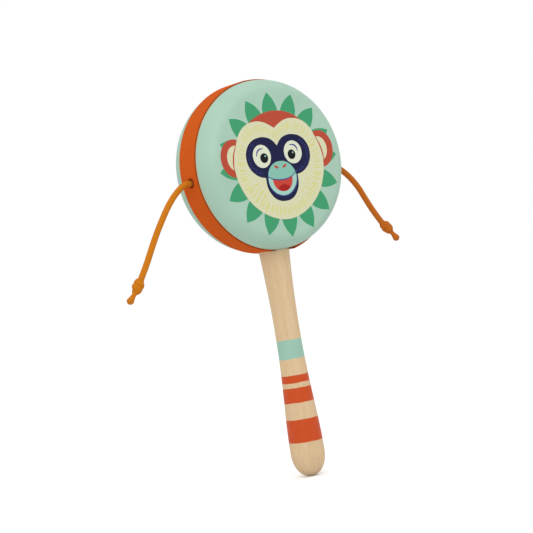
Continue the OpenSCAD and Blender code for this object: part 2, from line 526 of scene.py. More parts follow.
def smooth_shading(mesh: Mesh, limit: float) -> None:
    """Shades a mesh smooth, but keeps edges sharper than the limit crisp.

    Args:
        mesh: The mesh.
        limit: The angle in degrees past which an edge stays sharp.
    """
    mesh.polygons.foreach_set("use_smooth", [True] * len(mesh.polygons))
    mesh.set_sharp_from_angle(angle=math.radians(limit))
    mesh.update()


def piece_from(name: str, shape: BMesh | Mesh, material: Material, limit: float = 40) -> Object:
    """Puts a finished shape into the scene.

    Args:
        name: The piece's name.
        shape: Its shape, already in place. A bmesh is freed.
        material: Its finish.
        limit: The angle in degrees past which an edge stays sharp.

    Returns:
        The piece's object.
    """
    mesh = shape
    if isinstance(shape, BMesh):
        mesh = bpy.data.meshes.new(name)
        shape.to_mesh(mesh)
        shape.free()
    dress(mesh, material)
    smooth_shading(mesh, limit)
    made = bpy.data.objects.new(name, mesh)
    bpy.context.scene.collection.objects.link(made)
    return made


def applied(maker: Object) -> Mesh:
    """The mesh of an object or a curve, with its modifiers applied."""
    return bpy.data.meshes.new_from_object(maker.evaluated_get(bpy.context.evaluated_depsgraph_get()))


def carve(target: Object, tool: Object, limit: float = 35) -> None:
    """Cuts one solid out of another, and removes the tool.

    Args:
        target: The object whose mesh is changed.
        tool: The other solid.
        limit: The angle in degrees past which an edge stays sharp.
    """
    cut = target.modifiers.new("carve", "BOOLEAN")
    cut.operation, cut.solver, cut.object = "DIFFERENCE", "EXACT", tool
    shaped = applied(target)
    target.modifiers.clear()
    target.data = shaped
    bpy.data.objects.remove(tool)
    smooth_shading(shaped, limit)


def join_frame(piece: Object, rig: Rig) -> Object:
    """Makes a piece ride and hides what it replaces.

    Args:
        piece: The piece.
        rig: How it joins the frame.

    Returns:
        The same piece.
    """
    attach(piece, rig.body)
    if rig.replaces:
        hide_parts(*rig.replaces)
    LOG.info("%s: %d faces on %s", piece.name, len(piece.data.polygons), rig.body)
    return piece


def chain(bm: BMesh, points: Iterable[Vector], closed: bool) -> list[Any]:
    """Adds a line of vertices joined by edges.

    Args:
        bm: The mesh to add to.
        points: The line's points.
        closed: Whether the last point joins the first.

    Returns:
        The new vertices and edges.
    """
    verts = [bm.verts.new(p) for p in points]
    follow = verts[1:] + verts[:1] if closed else verts[1:]
    edges = [bm.edges.new(pair) for pair in zip(verts, follow)]
    return [*verts, *edges]


def turned(outline: Sequence[Vector], centre: Vector, axis: Vector, steps: int) -> BMesh:
    """Spins an outline once round an axis, as on a lathe.

    Args:
        outline: Its points, open where they meet the axis.
        centre: A point on the axis.
        axis: The axis.
        steps: The number of faces round the axis.

    Returns:
        The closed solid, with its faces outwards.
    """
    bm = bmesh.new()
    geometry = chain(bm, outline, closed=False)
    bmesh.ops.spin(bm, geom=geometry, cent=centre, axis=axis, dvec=(0, 0, 0), angle=2 * math.pi,
                   steps=steps, use_merge=True, use_duplicate=False)
    bmesh.ops.remove_doubles(bm, verts=bm.verts, dist=0.000002)
    bmesh.ops.recalc_face_normals(bm, faces=bm.faces)
    return bm


def curve_through(points: Sequence[Vector], per_span: int) -> list[Vector]:
    """Runs one smooth line through given points.

    Args:
        points: The points.
        per_span: The number of steps from one point to the next.

    Returns:
        The points of the line.
    """
    line = []
    ends = [2 * points[0] - points[1], *points, 2 * points[-1] - points[-2]]
    for a, b, c, d in zip(ends, ends[1:], ends[2:], ends[3:]):
        for i in range(per_span):
            t = i / per_span
            line.append(0.5 * (2 * b + (c - a) * t + (2 * a - 5 * b + 4 * c - d) * t ** 2
                               + (3 * b - a - 3 * c + d) * t ** 3))
    return [*line, points[-1].copy()]


def spaced(points: Sequence[Vector], step: float) -> list[Vector]:
    """Sets points at even distances along a line.

    Args:
        points: The line.
        step: The distance wanted.

    Returns:
        The even points, with both ends kept.
    """
    lengths = [0.0]
    for a, b in zip(points, points[1:]):
        lengths.append(lengths[-1] + (b - a).length)
    count = max(2, round(lengths[-1] / step))
    line, k = [], 0
    for i in range(count + 1):
        want = lengths[-1] * i / count
        while k < len(points) - 2 and lengths[k + 1] < want:
            k += 1
        span = lengths[k + 1] - lengths[k]
        line.append(points[k].lerp(points[k + 1], (want - lengths[k]) / span if span else 0))
    return line


# ---- cords


@dataclass(frozen=True)
class Braid:
    """A round cord's make-up, in millimetres."""

    diameter: float = 3.0
    sides: int = 24
    step: float = 0.32
    strands: int = 6
    lay: float = 9.0
    depth: float = 0.06

    def height(self, along: float, angle: float) -> float:
        """How far a strand stands up at a point.

        Args:
            along: The distance along the cord, in millimetres.
            angle: The angle round it, in radians.

        Returns:
            From 0 in a groove to 1 on a strand.
        """
        turn = 2 * math.pi * along / self.lay * self.strands
        right = math.sin(self.strands * angle + turn)
        left = math.sin(self.strands * angle - turn)
        return 0.5 + 0.5 * max(right, left) * (0.75 + 0.25 * min(right, left))


class CordMesh:
    """A cord swept along a line, with its strands modelled."""

    ROUND_START = (15, 40, 65)
    ROUND_END = (105, 125, 145, 165)
    FLARE_FROM = 0.35

    def __init__(self, line: Sequence[Vector], braid: Braid, squeeze: float = 1.0) -> None:
        """Keeps the line and the make-up.

        Args:
            line: The centre line, in metres.
            braid: The cord's make-up.
            squeeze: The share of its diameter that a tied cord keeps.
        """
        self.line = spaced(line, braid.step * MM)
        self.braid = braid
        self.radius = braid.diameter / 2 * MM * squeeze

    def stations(self, tip: float) -> list[tuple[Vector, Vector, float, float]]:
        """Lists the cord's cross sections from its rounded start to its rounded end.

        Args:
            tip: The melted tip's radius in millimetres, or 0 for a plain round end.

        Returns:
            The centre, direction, radius and melt of each.
        """
        line, last = self.line, len(self.line) - 1
        ways = [(line[min(i + 1, last)] - line[max(i - 1, 0)]).normalized() for i in range(last + 1)]
        end = tip * MM if tip else self.radius
        stop = last - (round(end / (self.braid.step * MM)) if tip else 0)

        def dome(i: int, radius: float, angles: Iterable[int], melted: float) -> list[Any]:
            """The stations of a round end at one point of the line."""
            return [(line[i] - ways[i] * radius * math.cos(a), ways[i], radius * math.sin(a), melted)
                    for a in map(math.radians, angles)]

        made = dome(0, self.radius, self.ROUND_START, 0.0)
        for i in range(stop + 1):
            rise = max(0.0, (i / stop - self.FLARE_FROM) / (1 - self.FLARE_FROM)) ** 1.4
            melted = 0.85 * (i / stop) ** 6 if tip else 0.0
            made.append((line[i], ways[i], self.radius + (end - self.radius) * rise, melted))
        return made + dome(stop, end, self.ROUND_END, 1.0 if tip else 0.0)

    def build(self, tip: float = 0.0) -> BMesh:
        """Sweeps the cord.

        Args:
            tip: The melted tip's radius in millimetres, or 0 for none.

        Returns:
            The closed mesh, with its strands' height and its melt at each point.
        """
        bm = bmesh.new()
        weave = bm.verts.layers.float.new("weave")
        melt = bm.verts.layers.float.new("melt")
        along, before, turn = 0.0, None, None
        ring: list[BMEdge] = []
        for centre, way, radius, melted in self.stations(tip):
            if before is None:
                turn = way.to_track_quat("Z", "Y")
                verts = bmesh.ops.create_circle(bm, segments=self.braid.sides, radius=1.0)["verts"]
                ring = list({e for v in verts for e in v.link_edges})
                unit = {v: v.co.copy() for v in verts}
            else:
                along += (centre - before[0]).length / MM
                turn = before[1].rotation_difference(way) @ turn
                grown = bmesh.ops.extrude_edge_only(bm, edges=ring)["geom"]
                ring = [e for e in grown if isinstance(e, BMEdge) and e.is_boundary]
                fresh = [v for v in grown if isinstance(v, BMVert)]
                unit = {v: self.beneath(v, unit) for v in fresh}
            for vert, flat in unit.items():
                high = self.braid.height(along, math.atan2(flat.y, flat.x))
                swell = 1 + self.braid.depth * (high - 0.5) * (1 - melted)
                vert.co = centre + turn @ (flat * radius * swell)
                vert[weave] = high * (1 - melted) + 0.6 * melted
                vert[melt] = melted
            before = (centre, way)
        bmesh.ops.holes_fill(bm, edges=[e for e in bm.edges if e.is_boundary], sides=0)
        bmesh.ops.recalc_face_normals(bm, faces=bm.faces)
        return bm

    @staticmethod
    def beneath(vert: BMVert, unit: dict[BMVert, Vector]) -> Vector:
        """Finds the place round the ring of the vertex that this one was drawn from."""
        source = next(e.other_vert(vert) for e in vert.link_edges if e.other_vert(vert) in unit)
        return unit[source]


KNOT_INSET = 1.15
KNOT_TAPER = 0.42


def knot_coil(length: float, radius: float, turns: float = 2.25) -> list[Vector]:
    """Draws the centre line of a cord tied in a tight double overhand knot round the Z axis.

    Args:
        length: The knot's length along the axis, in millimetres.
        radius: The radius of its wraps, in millimetres.
        turns: The number of wraps.

    Returns:
        The line's points, from the top of the knot to its bottom, in millimetres.
    """
    half, reach = length / 2, length / 2 - KNOT_INSET
    line = [Vector((0, 0, half + 0.5)), Vector((0, 0, half - 0.3))]
    steps = round(12 * turns)
    for k in range(steps + 1):
        share = 2 * k / steps - 1
        angle = math.pi * turns * share
        out = radius * (1 - KNOT_TAPER * share ** 4) * min(1.0, 6.0 * (1.06 - abs(share)))
        line.append(Vector((out * math.cos(angle), out * math.sin(angle), -reach * share)))
    return [*line, Vector((0, 0, 0.3 - half)), Vector((0, 0, -half - 0.5))]


class Side(Enum):
    """The side of the drum that a cord leaves from."""

    LEFT = -1
    RIGHT = 1


@dataclass
class StrikerCord:
    """One striker cord: the fixed stub, the swinging cord, its striker knot and its melted end.

    The route repeats the one that the frame's cord solids follow, in millimetres out from and up
    from the drum's centre.
    """

    side: Side
    upper: tuple[Flat, ...]
    lower: tuple[Flat, ...]
    knot_lean: float
    knot_turn: float
    tail_lean: float
    colour: Colour
    braid: Braid = field(default_factory=Braid)
    hole_height: float = HOLE_HEIGHT
    rim: float = 42.66
    knot_length: float = 8.0
    knot_gap: float = 0.25
    knot_girth: float = 5.9
    knot_press: float = 0.75
    tail: float = 6.2
    tucked: float = 0.6
    tip: float = 1.8
    stopper: float = 30.55
    stopper_length: float = 6.2
    bend: float = 6.0

    def __post_init__(self) -> None:
        """Works out names and the drum's height from the frame."""
        self.word = self.side.name.lower()
        low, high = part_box("front_skin")
        self.height = (low[2] + high[2]) / 2
        self.material = BraidedCord(f"{self.word}_cord_braid", self.colour).make()

    def at(self, point: Flat) -> Vector:
        """The place of a route point in the frame."""
        return Vector((self.side.value * point[0] * MM, 0, self.height + point[1] * MM))

    def lean(self, angle: float) -> Vector:
        """The direction that leans out from straight down by an angle in degrees."""
        a = math.radians(angle)
        return Vector((self.side.value * math.sin(a), 0, -math.cos(a)))

    def rig(self, part: str, *nodes: str) -> Rig:
        """The rig of a piece on one of this cord's bodies, standing for some of its nodes."""
        names = {"drum": "drum", "top": f"{self.word}_cord_top", "striker": f"{self.word}_cord_striker"}
        return Rig(names[part], f"{self.word}_cord", tuple(f"{self.word}_{n}" for n in nodes))

    def knot(self, name: str, top: Vector, way: Vector, length: float, rig: Rig) -> Object:
        """Ties a tight knot round a straight line, pressed to an oval.

        Args:
            name: The piece's name.
            top: Where the cord enters it.
            way: The direction through it.
            length: Its length, in millimetres.
            rig: How it joins the frame.

        Returns:
            The knot.
        """
        half = length / 2
        path = curve_through(knot_coil(length, 0.46 * self.braid.diameter), 4)
        turn = Quaternion(way, math.radians(self.knot_turn)) @ (-way).to_track_quat("Z", "Y")
        middle = top + way * half * MM
        bm = CordMesh([middle + turn @ (p * MM) for p in path], self.braid, 1.10).build()
        for vert in bm.verts:
            local = turn.inverted() @ (vert.co - middle)
            oval = self.knot_girth / 2 * MM * math.sqrt(max(0.05, 1 - (local.z / (1.12 * half * MM)) ** 2))
            share, room = math.hypot(local.x, local.y) / oval, 1 - self.knot_press
            if share > self.knot_press:
                pressed = (self.knot_press + room * math.tanh((share - self.knot_press) / room)) / share
                vert.co = middle + turn @ Vector((local.x * pressed, local.y * pressed, local.z))
        return join_frame(piece_from(name, bm, self.material, 60), rig)

    def stub(self) -> None:
        """Makes the stretch that is held in the wall, and the knot that stops it inside."""
        start = self.at((self.stopper, self.hole_height))
        pivot = self.at(self.upper[0])
        bm = CordMesh([start, pivot], self.braid).build()
        stub = piece_from(f"{self.word}_cord_stub", bm, self.material, 60)
        join_frame(stub, self.rig("drum", "cord_anchor"))
        inward = Vector((-self.side.value, 0, 0))
        rig = self.rig("drum", "stopper_knot")
        self.knot(f"{self.word}_stopper_tie", start, inward, self.stopper_length, rig)

    def swinging(self) -> tuple[Object, list[Vector], Vector]:
        """Makes the cord itself, from the rim to its knot.

        Returns:
            The cord, its centre line and the place of its knot.
        """
        marks = [self.at(p) for p in (*self.upper, *self.lower[1:])]
        line = curve_through(marks, 6)
        mesh = CordMesh(line, self.braid)
        cord = piece_from(f"{self.word}_cord", mesh.build(), self.material, 60)
        bend = self.at(self.lower[0])
        way = (self.at(self.lower[1]) - self.at(self.upper[-2])).normalized() * self.bend * MM
        bend - way
        bend + way
        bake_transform(cord)
        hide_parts(f"{self.word}_cord_upper", f"{self.word}_cord_lower")
        return cord, mesh.line, marks[-1]

    def build(self) -> None:
        self.stub()
        cord, line, end = self.swinging()
        knot_way, tail_way = self.lean(self.knot_lean), self.lean(self.tail_lean)
        start = end + knot_way * self.knot_gap * MM
        rig = self.rig("striker", "striker_knot")
        knot = self.knot(f"{self.word}_knot", start, knot_way, self.knot_length, rig)
        out = start + knot_way * (self.knot_length - self.tucked) * MM
        tail_line = [out, out + tail_way * (self.tail + self.tucked) * MM]
        bm = CordMesh(tail_line, self.braid, 0.75).build(self.tip)
        tail = piece_from(f"{self.word}_cord_end", bm, self.material, 60)
        join_frame(tail, self.rig("striker", "cord_tail"))
        length = sum((b - a).length for a, b in zip(line, line[1:]))
        rim = self.at((self.rim, self.hole_height))
        [tuple(p) for p in line]
        LOG.info("%s cord: %.1f mm", self.word, length / MM)


LEFT_CORD = dict(
    upper=((45.15, -4), (47.2, -4.9), (49.3, -6.2), (51.8, -8.1), (54.5, -10.6), (56.9, -13.2),
           (59.1, -15.9), (61.1, -18.6)),
    lower=((61.1, -18.6), (63, -21.2), (64.9, -23.9), (66.7, -26.6), (68.4, -29.3), (70, -31.9),
           (71.6, -34.6), (73.2, -37.3), (74.9, -40), (76.7, -42.7), (78.5, -45.4)),
    knot_lean=36.4, knot_turn=20, tail_lean=44, colour=srgb(202, 119, 18))
RIGHT_CORD = dict(
    upper=((45.15, -4), (47.3, -4.8), (49.9, -6.3), (52.3, -8.1), (54.6, -10.2), (56.7, -12.5),
           (58.5, -14.8), (59.9, -16.8), (61.1, -18.8)),
    lower=((61.1, -18.8), (62.5, -21.5), (63.95, -24.2), (65.4, -26.9), (66.9, -29.5), (68.4, -31.9),
           (69.95, -34.2), (71.6, -36.7)),
    knot_lean=42.9, knot_turn=150, tail_lean=38.5, colour=srgb(190, 102, 26))


# ---- drum


@dataclass
class DrumBody:
    """The two skins, the ribbon and the wood inside them, in millimetres."""

    finishes: Finishes
    shoulder: float = 7.0
    skin: float = 1.1
    lip: float = 0.35
    facets: int = 224
    curve_steps: int = 22

    def __post_init__(self) -> None:
        """Reads the drum's place and sizes from the frame."""
        low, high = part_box("front_skin")
        ribbon_low, ribbon_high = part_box("rim_ribbon")
        self.centre = Vector((0, 0, (low[2] + high[2]) / 2))
        self.radius = (high[0] - low[0]) / 2
        self.face = -low[1]
        self.seam = -high[1]
        self.ribbon_half = ribbon_high[1]
        self.ribbon_radius = (ribbon_high[0] - ribbon_low[0]) / 2

    def skin_outline(self) -> list[Vector]:
        """Draws the front skin's section.

        Returns:
            Its points, from the middle of the face round the edge and back inside.
        """
        reach, depth = self.shoulder * MM, self.face - self.seam
        lip, thick = self.lip * MM, self.skin * MM
        outline = [Vector((r * MM, -self.face, 0)) for r in (0, 9, 18, 27, 32)]
        for i in range(self.curve_steps + 1):
            a = math.radians(90 * (1 - i / self.curve_steps))
            y = self.face - depth + depth * math.sin(a)
            outline.append(Vector((self.radius - reach + reach * math.cos(a), -max(y, self.seam + lip), 0)))
        for a in (30, 60, 90):
            turn = math.radians(a)
            y = self.seam + lip - lip * math.sin(turn)
            outline.append(Vector((self.radius - lip + lip * math.cos(turn), -y, 0)))
        outline.append(Vector((self.radius - thick, -self.seam, 0)))
        for i in range(self.curve_steps + 1):
            a = math.radians(90 * i / self.curve_steps)
            y = self.seam + (depth - thick) * math.sin(a)
            outline.append(Vector((self.radius - reach + (reach - thick) * math.cos(a), -y, 0)))
        outline.append(Vector((0, -self.face + thick, 0)))
        return [p + self.centre for p in outline]

    def skins(self) -> None:
        """Makes both skins."""
        for name, turn in (("front", 0.0), ("back", math.pi)):
            bm = turned(self.skin_outline(), self.centre, Vector((0, 1, 0)), self.facets)
            bmesh.ops.rotate(bm, cent=self.centre, matrix=Matrix.Rotation(turn, 3, "Z"), verts=bm.verts)
            skin = piece_from(f"{name}_drum_skin", bm, self.finishes.skin, 50)
            join_frame(skin, Rig("drum", "mint_skin", (f"{name}_skin",)))
            arc = math.pi / 2 * math.sqrt(((self.shoulder * MM) ** 2 + (self.face - self.seam) ** 2) / 2)

    def inner_wood(self) -> None:
        """Dresses the hoop, the rod and the screw, which the frame shapes."""
        for node, material in (("hoop", self.finishes.hoop), ("center_rod", self.finishes.rod),
                               ("rod_screw", self.finishes.steel)):
            dress(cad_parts[node].data, material)
            LOG.info("%s: dressed", node)


@dataclass
class RimRibbon:
    """Grosgrain ribbon round the rim, cut where the handle enters, in millimetres."""

    drum: DrumBody
    thickness: float = 0.42
    proud: float = 0.28
    rib: float = 1.0
    rib_depth: float = 0.14
    start: float = 8.3
    end: float = 5.9
    overlap: float = 12.0
    overlap_rise: float = 0.8
    hole: Flat = (2.3, 2.2)
    hole_forward: float = 1.15
    # The width of the painted shade round each cord hole.
    hole_shade_width: float = 0.7
    hole_height: float = HOLE_HEIGHT
    across: int = 16

    def section(self) -> list[Vector]:
        """Draws the ribbon's section at the bottom of the rim.

        Returns:
            The points of its closed line.
        """
        half, radius = self.drum.ribbon_half, self.drum.ribbon_radius
        points = []
        for i in range(self.across + 1):
            y = -half + 2 * half * i / self.across
            round_edge = 0.12 * MM if i in (0, self.across) else 0.0
            points.append(Vector((0, y, -(radius - round_edge))))
        inside = -(radius - self.thickness * MM)
        points += [Vector((0, half, inside)), Vector((0, -half, inside))]
        return [p + self.drum.centre for p in points]

    def weave(self, bm: BMesh, first: float) -> None:
        """Raises the ribs and the doubled end, and stores rib, edge and nearness to a hole at each point.

        Args:
            bm: The spun ribbon.
            first: The angle in radians at which it starts.
        """
        rib_layer = bm.verts.layers.float.new("rib")
        edge_layer = bm.verts.layers.float.new("edge")
        punched_layer = bm.verts.layers.float.new("punched")
        radius, half = self.drum.ribbon_radius, self.drum.ribbon_half
        pitch = self.rib * MM / radius
        for vert in bm.verts:
            local = vert.co - self.drum.centre
            angle = math.atan2(local.x, -local.z) % (2 * math.pi) - first
            # The rib height, which the finish turns into painted shade in the grooves and painted highlight
            # on the crests.
            high = 0.5 + 0.5 * math.cos(2 * math.pi * angle / pitch)
            reach = math.hypot(local.x, local.z)
            outside = reach > radius - 0.6 * self.thickness * MM
            # edge rises over the last millimetre of each side, for the painted shade there.
            edge = max(0.0, (abs(local.y) - half + 1.0 * MM) / (1.0 * MM))
            # Nearness to a cord hole, for the painted shade round it.
            near = math.hypot((local.y + self.hole_forward * MM) / self.hole[0],
                              (local.z - self.hole_height * MM) / self.hole[1]) / MM - 1
            beyond = max(0.0, 1 - near * self.hole[1] / self.hole_shade_width)
            vert[rib_layer] = high if outside else 0.0
            vert[edge_layer] = edge if outside else 1.0
            vert[punched_layer] = min(1.0, beyond) if abs(local.x) > 0.9 * radius else 0.0
            if outside:
                doubled = max(0.0, 1 - angle * radius / (self.overlap * MM)) ** 0.6 * self.overlap_rise
                out = 1 + (self.proud - self.rib_depth * (1 - high) + doubled) * MM / reach
                vert.co = self.drum.centre + Vector((local.x * out, local.y, local.z * out))

    def punch(self, ribbon: Object) -> None:
        """Punches the two cord holes.

        Args:
            ribbon: The ribbon, whose mesh is changed.
        """
        bm = bmesh.new()
        spot = self.drum.centre + Vector((0, -self.hole_forward * MM, self.hole_height * MM))
        size = Matrix.Diagonal((1, *(h * MM for h in self.hole), 1))
        place = Matrix.Translation(spot) @ size @ Matrix.Rotation(math.pi / 2, 4, "Y")
        bmesh.ops.create_cone(bm, cap_ends=True, segments=28, radius1=1, radius2=1,
                              depth=3 * self.drum.radius, matrix=place)
        punch = piece_from("punch", bm, ribbon.data.materials[0])
        carve(ribbon, punch, 50)

    def build(self) -> None:
        radius = self.drum.ribbon_radius
        first = math.asin(self.start * MM / radius)
        last = 2 * math.pi - math.asin(self.end * MM / radius)
        ribs = round((last - first) * radius / (self.rib * MM))
        bm = bmesh.new()
        geometry = chain(bm, self.section(), closed=True)
        axis = Vector((0, -1, 0))
        bmesh.ops.rotate(bm, cent=self.drum.centre, matrix=Matrix.Rotation(first, 3, axis), verts=bm.verts)
        bmesh.ops.spin(bm, geom=geometry, cent=self.drum.centre, axis=axis, dvec=(0, 0, 0),
                       angle=last - first, steps=4 * ribs, use_merge=False, use_duplicate=False)
        bmesh.ops.holes_fill(bm, edges=[e for e in bm.edges if e.is_boundary], sides=0)
        bmesh.ops.recalc_face_normals(bm, faces=bm.faces)
        self.weave(bm, first)
        ribbon = piece_from("grosgrain_ribbon", bm, self.drum.finishes.ribbon, 50)
        self.punch(ribbon)
        join_frame(ribbon, Rig("drum", "ribbon", ("rim_ribbon",)))


# ---- handle


@dataclass
class TurnedHandle:
    """The turned stick with its painted bands, in millimetres."""

    drum: DrumBody
    neck: float = 15.6
    waist: float = 12.6
    swell: float = 17.2
    waist_height: float = 30.0
    swell_height: float = -32.0
    tenon: float = 12.0
    end_power: float = 0.91
    steps: int = 72
    facets: int = 128
    gap: float = 0.12
    bands: tuple[tuple[float, float, Paint], ...] = (
        (14.9, 24.5, Paint.MINT), (2.9, 6.7, Paint.CORAL), (-7.0, 0.4, Paint.CORAL),
        (-26.8, -15.3, Paint.CORAL))

    def radius_at(self, height: float, neck_height: float) -> float:
        """The handle's radius at a height above its waist or below it, all in millimetres.

        Args:
            height: The height above the middle of the grip.
            neck_height: The height at which the neck ends.

        Returns:
            The radius.
        """
        if height > self.waist_height:
            rise = (height - self.waist_height) / (neck_height - self.waist_height)
            return self.waist / 2 + (self.neck - self.waist) / 2 * rise ** 1.8
        fall = (self.waist_height - height) / (self.waist_height - self.swell_height)
        return self.waist / 2 + (self.swell - self.waist) / 4 * (1 - math.cos(math.pi * fall ** 1.2))

    def outline(self) -> list[Vector]:
        """Draws the handle's section.

        Returns:
            Its points, from the base to the top of the tenon.
        """
        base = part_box("handle")[0][2] / MM
        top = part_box("handle")[1][2] / MM
        neck_height = (self.drum.centre.z - self.drum.radius) / MM + 2
        drop = self.swell_height - base
        points: list[Flat] = []
        for i in range(24):
            a = math.radians(90 * i / 24)
            wide, deep = math.sin(a) ** self.end_power, math.cos(a) ** self.end_power
            points.append((self.swell / 2 * wide, self.swell_height - drop * deep))
        for i in range(self.steps + 1):
            z = self.swell_height + (neck_height - self.swell_height) * i / self.steps
            points.append((self.radius_at(z, neck_height), z))
        points += [(self.tenon / 2, neck_height), (self.tenon / 2, top), (0, top)]
        return [Vector((r * MM, 0, z * MM)) for r, z in points]

    def rim_tool(self) -> Object:
        """Makes the drum's own outline, to hollow the top of the neck with.

        Returns:
            The tool.
        """
        drum, gap = self.drum, self.gap * MM
        inner, outer = drum.ribbon_radius + gap, drum.radius + gap
        tenon = self.tenon / 2 * MM
        section = [(0, -drum.face), (outer, -drum.face), (outer, -drum.seam), (inner, -drum.seam),
                   (inner, drum.seam), (outer, drum.seam), (outer, drum.face), (0, drum.face)]
        outline = [drum.centre + Vector((r, y, 0)) for r, y in section]
        bm = turned(outline, drum.centre, Vector((0, 1, 0)), 240)
        tool = piece_from("rim_tool", bm, drum.finishes.rod)
        spare = bmesh.new()
        spot = Matrix.Translation(drum.centre + Vector((0, 0, -0.045)))
        bmesh.ops.create_cone(spare, cap_ends=True, segments=96, radius1=tenon, radius2=tenon, depth=0.08,
                              matrix=spot)
        keeper = piece_from("tenon_keeper", spare, drum.finishes.rod)
        carve(tool, keeper)
        return tool

    def build(self) -> None:
        """Makes the handle."""
        bm = turned(self.outline(), Vector((0, 0, 0)), Vector((0, 0, 1)), self.facets)
        bands = tuple(Band(low * MM, high * MM, paint) for low, high, paint in self.bands)
        material = Beech("handle_beech", srgb(204, 179, 143), bands).make()
        handle = piece_from("turned_handle", bm, material, 35)
        carve(handle, self.rim_tool())
        join_frame(handle, Rig("drum", "handle_wood", ("handle",)))


# ---- print


@dataclass(frozen=True)
class Shape:
    """A closed printed shape: listed points in millimetres, of which some are sharp corners."""

    points: tuple[Flat, ...]
    corners: frozenset[int] = frozenset()

    def mirrored(self) -> "Shape":
        """The same shape on the other side of the face."""
        return Shape(tuple((-x, z) for x, z in self.points), self.corners)


def symmetric(half: Sequence[Flat], corners: Iterable[int] = ()) -> Shape:
    """Closes a half outline, whose first and last points lie on the middle line, with its mirror image.

    Args:
        half: The right-hand half.
        corners: The sharp points in it.

    Returns:
        The whole shape.
    """
    other = [(-x, z) for x, z in half[-2:0:-1]]
    count = len(half) + len(other)
    sharp = {c for c in corners} | {(count - c) % count for c in corners}
    return Shape((*half, *other), frozenset(sharp))


def ellipse(x: float, z: float, wide: float, high: float, tilt: float = 0.0) -> Shape:
    """Draws an ellipse.

    Args:
        x: Its centre, across.
        z: Its centre, up.
        wide: Half its width.
        high: Half its height.
        tilt: Its turn in degrees.

    Returns:
        The ellipse.
    """
    turn = math.radians(tilt)
    points = []
    for k in range(12):
        a = math.radians(30 * k)
        u, v = wide * math.cos(a), high * math.sin(a)
        across, up = u * math.cos(turn) - v * math.sin(turn), u * math.sin(turn) + v * math.cos(turn)
        points.append((x + across, z + up))
    return Shape(tuple(points))


def stroke(line: Sequence[Flat], width: float) -> Shape:
    """Draws a brush stroke, which comes to a point at both ends.

    Args:
        line: The line that it follows.
        width: Its greatest width.

    Returns:
        The stroke.
    """
    marks = curve_through([Vector((x, z, 0)) for x, z in line], 4)
    left, right = [], []
    last = len(marks) - 1
    for i in range(1, last):
        way = (marks[i + 1] - marks[i - 1]).normalized()
        half = width / 2 * math.sin(math.pi * (0.12 + 0.76 * i / last))
        side = Vector((-way.y, way.x, 0)) * half
        left.append(tuple((marks[i] + side).xy))
        right.append(tuple((marks[i] - side).xy))
    ends = (tuple(marks[0].xy), tuple(marks[-1].xy))
    return Shape((ends[0], *left, ends[1], *reversed(right)))


# The print's outlines and lines, in millimetres across and up from the middle of the face.
CAP = Shape((
    (-20.4, 15.4), (-16.0, 19.3), (-9.5, 23.0), (-1.5, 25.0), (3.4, 25.0), (9.0, 23.9), (15.4, 20.6),
    (20.4, 15.6), (9.0, 13.0), (-9.0, 13.0)), frozenset({0, 7}))
FACE = symmetric((
    (0, 16.6), (2.7, 18.3), (6.6, 20.1), (11.4, 20.6), (17.2, 19.1), (21.3, 15.6), (24.2, 10.0), (26.3, 4.2),
    (26.9, -1.5), (26.4, -6.2), (24.8, -11.2), (21.9, -16.6), (17.7, -21.4), (12.2, -25.3), (6.2, -27.8),
    (0, -28.7)), (0,))
MASK = symmetric((
    (0, 7.9), (2.7, 10.9), (6.4, 12.5), (10.6, 12.6), (15.2, 11.0), (18.4, 7.4), (19.4, 2.8), (18.2, -1.8),
    (15.4, -5.0), (12.4, -6.7), (9.7, -7.3), (9.5, -11.8), (7.7, -15.9), (4.6, -18.7), (0, -19.7)),
    (0, 10))
MUZZLE = Shape((
    (-8.2, -7.2), (-7.5, -4.4), (-4.6, -1.2), (0.3, 0.1), (5.3, -1.4), (8.0, -4.6), (8.7, -6.8), (4.3, -8.5),
    (-0.4, -9.0), (-4.6, -8.5)), frozenset({0, 6}))
LIP = Shape((
    (-8.3, -7.4), (-8.1, -10.8), (-6.0, -14.3), (-3.0, -16.2), (0.4, -16.8), (3.8, -15.9), (6.8, -13.4),
    (8.5, -10.4), (8.9, -6.9), (0.0, -7.6)), frozenset({0, 8}))
MOUTH = Shape((
    (-5.8, -8.5), (-5.3, -11.2), (-3.6, -13.6), (0.1, -14.9), (3.7, -13.7), (5.6, -11.2), (6.3, -8.2),
    (0.2, -9.0)), frozenset({0, 6}))
TONGUE = Shape((
    (-3.4, -13.4), (-2.0, -12.1), (0.8, -11.5), (3.2, -12.4), (4.1, -13.0), (2.4, -14.3), (0.1, -14.75),
    (-2.0, -14.3)), frozenset({0, 4}))
EAR_LINE = ((24.4, 10.0), (26.4, 5.6), (27.3, 1.0), (27.35, -2.2))
SMILE = ((-9.0, -6.6), (-5.2, -8.4), (0.0, -9.1), (5.0, -8.3), (9.9, -5.4))
JAW = ((-8.6, -8.2), (-8.1, -11.6), (-6.0, -14.8), (-2.9, -16.6), (0.5, -17.1), (4.0, -16.2), (7.1, -13.7),
       (8.9, -10.6), (9.3, -7.2))
BROWS = (((-13.2, 3.4), (-12.5, 5.6), (-10.9, 6.9), (-8.7, 7.1)),
         ((7.4, 7.6), (10.0, 7.3), (11.5, 5.9), (12.0, 3.9)))
NOSTRILS = (((-3.6, -1.8), (-2.4, -2.7), (-1.2, -3.1)), ((3.8, -1.7), (2.5, -2.6), (1.3, -3.1)))


